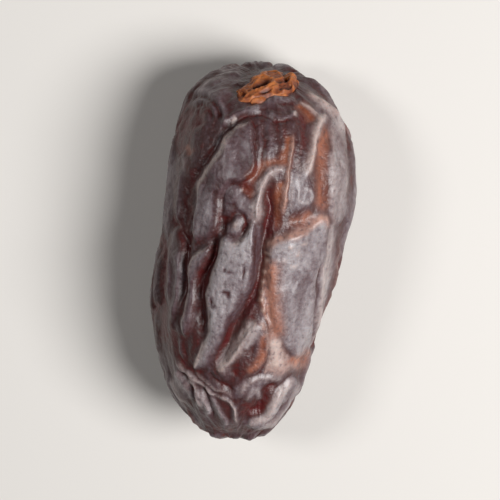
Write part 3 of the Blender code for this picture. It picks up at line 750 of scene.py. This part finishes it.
def makeDateSkin():
    look = dateSkin
    material, tree = newMaterial("driedDateSkin")
    place = node(tree, "TexCoord").outputs["Object"]
    lifted, amber, pale = [node(tree, "Attribute", {"attribute_name": name}).outputs["Fac"]
                           for name in finishes]
    long = node(tree, "Mapping", Vector=place, Scale=(1.0 / look["streakLength"], 1.0, 1.0))
    noises = ((long, "mottleMm", 3.0), (place, "speckMm", 3.0), (place, "grainMm", 2.0))
    streak, speck, grain = [
        node(tree, "TexNoise", Vector=vector, Scale=1.0 / (look[size] * mm), Detail=detail)
        for vector, size, detail in noises]

    # The lift is broken up by noise, so that no border between two finishes is a clean line
    lift = lifted
    for noise, most in ((streak, look["broad"]), (speck, look["close"])):
        uneven = node(tree, "MapRange", Value=noise, From_Min=0.3, From_Max=0.7, To_Min=-most, To_Max=most)
        lift = node(tree, "Math", {"operation": "ADD"}, _0=lift, _1=uneven)
    colour = node(tree, "ValToRGB", Fac=lift)
    setStops(colour, look["lift"])

    # Amber, then pale skin and painted highlights, over that, then dark flecks and light dust
    patchy = node(tree, "MapRange", Value=streak, From_Min=0.35, From_Max=0.65)
    tone = node(tree, "Mix", {"data_type": "RGBA"}, _0=patchy,
                _6=linear(look["amberDark"]), _7=linear(look["amber"]))
    uneven = node(tree, "MapRange", Value=speck, From_Min=0.3, From_Max=0.6, To_Min=0.6, To_Max=1.0)
    fleck = node(tree, "MapRange", Value=speck, From_Min=0.40, From_Max=0.32, To_Max=look["fleckAmount"])
    dry = node(tree, "MapRange", Value=lifted, From_Min=0.4, From_Max=0.9, To_Max=look["speckAmount"])
    dust = node(tree, "MapRange", Value=grain, From_Min=0.58, From_Max=0.72)
    amber, pale, dust = [node(tree, "Math", {"operation": "MULTIPLY"}, _0=one, _1=other)
                         for one, other in ((amber, uneven), (pale, uneven), (dust, dry))]
    for amount, over in ((amber, tone), (pale, linear(look["pale"])), (fleck, linear(look["fleck"])),
                         (dust, linear(look["speck"]))):
        colour = node(tree, "Mix", {"data_type": "RGBA"}, _0=amount, _6=colour, _7=over)

    rough = node(tree, "MapRange", Value=lift, From_Min=0.05, From_Max=0.7,
                 To_Min=look["roughnessSunk"], To_Max=look["roughness"])
    coat = node(tree, "MapRange", Value=lift, From_Min=0.2, From_Max=0.8,
                To_Min=look["coatSunk"], To_Max=look["coat"])
    under = {}
    for noise, (strength, depth) in zip((grain, speck, streak), look["bumps"]):
        bump = node(tree, "Bump", Strength=strength, Distance=depth * mm, Height=noise, **under)
        under = {"Normal": bump}
    shader = node(tree, "BsdfPrincipled", Base_Color=colour, Roughness=rough, IOR=look["ior"],
                  Coat_Weight=coat, Coat_Roughness=look["coatRoughness"], Normal=bump,
                  Subsurface_Weight=look["through"], Subsurface_Radius=look["throughRatio"],
                  Subsurface_Scale=look["throughMm"] * mm)
    node(tree, "OutputMaterial", Surface=shader)
    return material


# Calyx: a dry crumpled cushion in the dip, its slits and lobes placed as in the photograph, and
# small ragged petals round its rim. A petal's row: its angle round the cap (0 towards +Y, 90 up), how
# far out its middle is, half its length outwards, half its width and its height, in mm, then its
# tilt, how much it cups and how much it crumples.
calyx = {
    "seat": (22.5, -0.55, 2.9),
    "pitch": math.tan(math.radians(20.0)), "yaw": math.tan(math.radians(8.0)),
    "turn": math.radians(36.0), "radius": 4.5, "squash": 0.62, "thickness": 2.3,
    "lift": 0.62, "lobed": 0.06, "fullness": 0.75,
    "crumple": 0.34, "crumpleMm": 1.7, "fine": 0.09, "fineMm": 0.5,
    "discRings": 120, "discColumns": 210,
    "petalRings": 40, "petalColumns": 72, "petalThickness": 0.42, "petalFullness": 0.62,
    "petalCrumpleMm": (1.5, 2.2, 1.0), "petalFine": 0.07, "petalFineMm": 0.6,
    "ragged": 0.16, "raggedMm": 1.1, "petalEdgeDrop": 0.5,
    "petals": [
        (262, 3.4, 1.3, 2.1, 0.35, 0.25, 0.2, 0.35), (95, 3.4, 1.4, 2.1, 0.3, 0, 0.25, 0.35),
        (178, 3.5, 1.3, 1.5, 0.45, 0.2, -0.2, 0.4), (5, 3.5, 1.3, 1.5, 0.45, 0.05, 0.35, 0.45),
        (318, 3.4, 1.3, 1.8, 0.35, 0.15, 0.2, 0.4), (215, 3.5, 1.3, 1.6, 0.35, 0.1, 0.2, 0.4),
        (42, 3.5, 1.3, 1.8, 0.3, 0.05, 0.2, 0.4), (138, 3.5, 1.3, 1.7, 0.35, 0.1, 0.2, 0.4),
    ],
}
# The cushion's lobes and slits, in rows like those of crests and furrows
calyxLobes = [
    (0.6, 0.4, 0.92, [(-1.8, 22.2), (-0.5, 23), (0.8, 23.5), (2.1, 23.6)]),
    (0.28, 0.32, 0.95, [(-1.4, 21), (-0.4, 21.5), (0.8, 22), (1.6, 22.6)]),
    (0.2, 0.4, 0.9, [(-3.4, 20.3), (-3.1, 20.95), (-2.5, 21.05), (-2.2, 20.6)]),
    (0.26, 0.35, 0.92, [(3.2, 23.2), (3.9, 23.1), (4.7, 23)]),
    (0.3, 0.25, 0.8, [(2.3, 21.5), (3.3, 21.6), (4.3, 21.9)]),
    (0.34, 0.25, 0.74, [(-2.6, 19.9), (-1.4, 20.2), (-0.2, 20.6), (1.3, 21.1)]),
]
# slits: sunk, and darkened by their low lift, partly red-brown tissue and partly painted shade in the recess
calyxSlits = [
    (0.2, 0.7, 0, [(-1.6, 21.4), (-0.8, 21.8), (0, 22.2), (0.8, 22.6)]),
    (0.12, 0.16, 0.4, [(-0.9, 20.8), (0.2, 21.2), (1.2, 21.6)]),
    (0.3, 0.7, 0, [(-3, 20.3), (-2.7, 20.7), (-2.6, 20.9)]),
    (0.26, 0.7, 0, [(2.5, 24), (2.8, 23.4), (3, 22.8)]),
    (0.4, 0.3, 0.24, [(1.8, 22), (2.7, 22.2), (3.7, 22.4)]),
    (0.35, 0.3, 0.1, [(-4, 21.2), (-3.8, 20.4), (-3.6, 19.6)]),
]

# Dry calyx: hard brittle plant tissue, papery at its edges. Waxy orange-tan, red-brown in the folds, which
# are also darkened with painted shade: slits, crumple creases and petal undersides go near black.
dryCalyx = {
    # the fold tone: near black in slits and creases, partly painted shade, up to orange-tan on the lobes
    "fold": [(0.0, "#260a05"), (0.3, "#4e200f"), (0.6, "#7e3e1c"), (1.0, "#ae6531")],
    "fibreMm": 0.4, "mottle": 0.12, "bump": 0.4, "bumpMm": 0.12, "roughness": 0.55, "ior": 1.5,
    "through": 0.15, "throughMm": 0.6, "throughRatio": (1.0, 0.4, 0.15),
}


def makeDryCalyx():
    look = dryCalyx
    material, tree = newMaterial("dryCalyx")
    place = node(tree, "TexCoord").outputs["Object"]
    fold = node(tree, "Attribute", {"attribute_name": "fold"}).outputs["Fac"]
    fibre = node(tree, "TexNoise", Vector=place, Scale=1.0 / (look["fibreMm"] * mm), Detail=4.0,
                 Roughness=0.6)
    uneven = node(tree, "MapRange", Value=fibre, From_Min=0.3, From_Max=0.7,
                  To_Min=-look["mottle"], To_Max=look["mottle"])
    tone = node(tree, "Math", {"operation": "ADD"}, _0=fold, _1=uneven)
    ramp = node(tree, "ValToRGB", Fac=tone)
    setStops(ramp, look["fold"])
    bump = node(tree, "Bump", Strength=look["bump"], Distance=look["bumpMm"] * mm, Height=fibre)
    shader = node(tree, "BsdfPrincipled", Base_Color=ramp, IOR=look["ior"], Roughness=look["roughness"],
                  Normal=bump, Subsurface_Weight=look["through"], Subsurface_Radius=look["throughRatio"],
                  Subsurface_Scale=look["throughMm"] * mm)
    node(tree, "OutputMaterial", Surface=shader)
    return material


# Polar angle and turn of every point of a closed form, in rings from one pole to the other
def polarGrid(rings, columns):
    polar = np.linspace(0.0, np.pi, rings + 2)[1:-1]
    turn = np.arange(columns) / columns * 2.0 * np.pi
    return np.meshgrid(polar, turn, indexing="ij")


# From the cap's own plane, across, up and out of it, to the fruit's place
def calyxPlace(across, up, out, shift):
    outward = np.array([1.0, calyx["yaw"], calyx["pitch"]])
    outward /= np.linalg.norm(outward)
    side = np.cross([0.0, 0.0, 1.0], outward)
    side /= np.linalg.norm(side)
    upward = np.cross(outward, side)
    c, s = math.cos(calyx["turn"]), math.sin(calyx["turn"])
    side, upward = c * side + s * upward, c * upward - s * side
    seat = np.array(calyx["seat"]) + shift + [0.0, 0.0, fruitMiddle - fruit["bellyFlat"]]
    return (seat + across[..., None] * side + calyx["squash"] * up[..., None] * upward
            + out[..., None] * outward)


# Cushion: a flattened sphere with three lobes to its outline; its outer side is moved by the placed
# lobes and slits and by noise
def makeCalyxCushion(material, shift):
    polar, turn = polarGrid(calyx["discRings"], calyx["discColumns"])
    reach = (calyx["radius"] * (1.0 + calyx["lobed"] * np.cos(3.0 * turn))
             * np.sin(polar) ** calyx["fullness"])
    across, up = reach * np.cos(turn), reach * np.sin(turn)
    out = calyx["thickness"] / 2 * np.cos(polar)
    places = picturePlace(calyxPlace(across, up, out, shift).reshape(-1, 3))
    tissue = plainSkin(len(places), calyx["lift"])
    for lobe in calyxLobes:
        addCrest(tissue, places, lobe)
    for slit in calyxSlits:
        addFurrow(tissue, places, slit)
    spots = np.stack([across, up, out], -1).reshape(-1, 3)
    crumple = foldNoise(spots, calyx["crumpleMm"], 91) - 0.5
    fine = latticeNoise(spots, calyx["fineMm"], 93)
    relief = tissue["height"] + calyx["crumple"] * crumple + calyx["fine"] * fine
    out = out + relief.reshape(out.shape) * smooth(np.cos(polar), -0.1, 0.35)
    # painted shade: the fold tone is darkest in the slits and the creases of the crumple, lighter on the
    # ridges
    fold = (tissue["lift"] + 0.5 * crumple + 0.12 * fine).reshape(out.shape)
    points = calyxPlace(across, up, out, shift)
    return makePiece("calyxCushion", points[:, ::-1], material, {"fold": (fold[:, ::-1], 0.4)})


# Petal: a flat cushion with a full outline, tilted and cupped, moved by noise that crumples both of
# its faces alike
def makePetal(number, petal, material, shift):
    angle, middle, length, width, height, tilt, cup, crumpled = petal
    polar, turn = polarGrid(calyx["petalRings"], calyx["petalColumns"])
    reach = np.sin(polar) ** calyx["petalFullness"]
    across, along = reach * np.sin(turn), reach * np.cos(turn)
    apart = np.full(turn.shape, 7.0 * number)
    spots = np.stack([across * width, along * length, apart], -1).reshape(-1, 3)
    crumple = (foldNoise(spots, calyx["petalCrumpleMm"], 92) - 0.5).reshape(turn.shape)
    fine = latticeNoise(spots, calyx["petalFineMm"], 93).reshape(turn.shape)
    ragged = 1.0 + calyx["ragged"] * latticeNoise(spots, calyx["raggedMm"], 94).reshape(turn.shape) * reach
    out = height + calyx["petalThickness"] / 2 * np.cos(polar)
    out = out + tilt * along + cup * (across ** 2 - 0.4) - calyx["petalEdgeDrop"] * reach ** 4
    out = out + crumpled * crumple + calyx["petalFine"] * fine
    c, s = math.cos(math.radians(angle)), math.sin(math.radians(angle))
    outwards = middle + length * along * ragged
    sideways = width * across * ragged
    points = calyxPlace(outwards * c - sideways * s, outwards * s + sideways * c, out, shift)
    # painted shade: the petal is darker at its inner end where it tucks in, in its creases, and on its
    # underside
    innerEndShade = smooth(-along, 0.5, 1.0)
    fold = 0.62 + 0.9 * crumple + 0.15 * fine - 0.35 * innerEndShade - 0.5 * (polar > np.pi / 2)
    return makePiece(f"calyxPetal{number}", points, material, {"fold": (fold, 0.4)})


fruitPiece = makeFruit(makeDateSkin())
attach(fruitPiece, "root")
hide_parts("date_fruit")
print("fruit made", len(fruitPiece.data.polygons), "faces")

dryCalyxMaterial = makeDryCalyx()
capShift = formShift(fruitForm(*polarGrid(200, 200)))
calyxPieces = [makeCalyxCushion(dryCalyxMaterial, capShift)]
for number, petal in enumerate(calyx["petals"], 1):
    calyxPieces.append(makePetal(number, petal, dryCalyxMaterial, capShift))
for piece in calyxPieces:
    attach(piece, "root")
    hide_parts("calyx_cap")
print("calyx made", len(calyxPieces), "pieces")

# Studio: a plain pale floor, a soft light from the right of the picture, a weaker one from the left
# that picks out the rims, and a dim surround
studio = {
    "floor": "#d9d5d0", "floorSize": 1.6, "floorRoughness": 0.8,
    "key": {"place": (0.0, -0.27, 0.36), "size": 0.24, "power": 2.6},
    "fill": {"place": (0.07, 0.25, 0.36), "size": 0.12, "power": 0.52},
    "surround": "#9a9a9a", "surroundStrength": 0.05,
}


# Adds a lamp or a camera at a place, its back away from the target and its top towards up
def addAimed(name, data, place, target, up):
    thing = bpy.data.objects.new(name, data)
    bpy.context.scene.collection.objects.link(thing)
    back = np.asarray(place, float) - target
    back /= np.linalg.norm(back)
    side = np.cross(up, back)
    side /= np.linalg.norm(side)
    turn = np.eye(4)
    turn[:3] = np.stack([side, np.cross(back, side), back, place], 1)
    thing.matrix_world = Matrix(turn.tolist())
    return thing


def makeStudio(target):
    bpy.ops.mesh.primitive_plane_add(size=studio["floorSize"])
    floor = bpy.context.object
    floor.name = "studioFloor"
    material, tree = newMaterial("paintedFloor")
    shader = node(tree, "BsdfPrincipled", Base_Color=linear(studio["floor"]),
                  Roughness=studio["floorRoughness"])
    node(tree, "OutputMaterial", Surface=shader)
    floor.data.materials.append(material)
    for name in ("key", "fill"):
        light = bpy.data.lights.new(name, "AREA")
        light.shape = "DISK"
        light.size = studio[name]["size"]
        light.energy = studio[name]["power"]
        addAimed(name, light, studio[name]["place"], target, [0.0, 1.0, 0.0])
    world = bpy.data.worlds.new("surround")
    world.use_nodes = True
    back = world.node_tree.nodes["Background"]
    back.inputs["Color"].default_value = linear(studio["surround"])
    back.inputs["Strength"].default_value = studio["surroundStrength"]
    bpy.context.scene.world = world


# Camera: at the photograph's angle, with the lens that makes its picture the right number of mm wide
def makeCamera(target):
    lens = bpy.data.cameras.new("camera")
    frameWidth = view["pictureSize"] / view["pixelsPerMm"]
    lens.sensor_width = view["sensor"]
    lens.lens = view["sensor"] * view["distance"] / frameWidth
    lens.clip_start = 0.01
    up = math.cos(view["roll"]) * upPicture - math.sin(view["roll"]) * acrossPicture
    place = target + toCamera * view["distance"] * mm
    bpy.context.scene.camera = addAimed("camera", lens, place, target, up)


makeStudio(view["aim"] * mm)
makeCamera(view["aim"] * mm)
bpy.context.scene.view_settings.view_transform = "Standard"
print("studio and camera made")
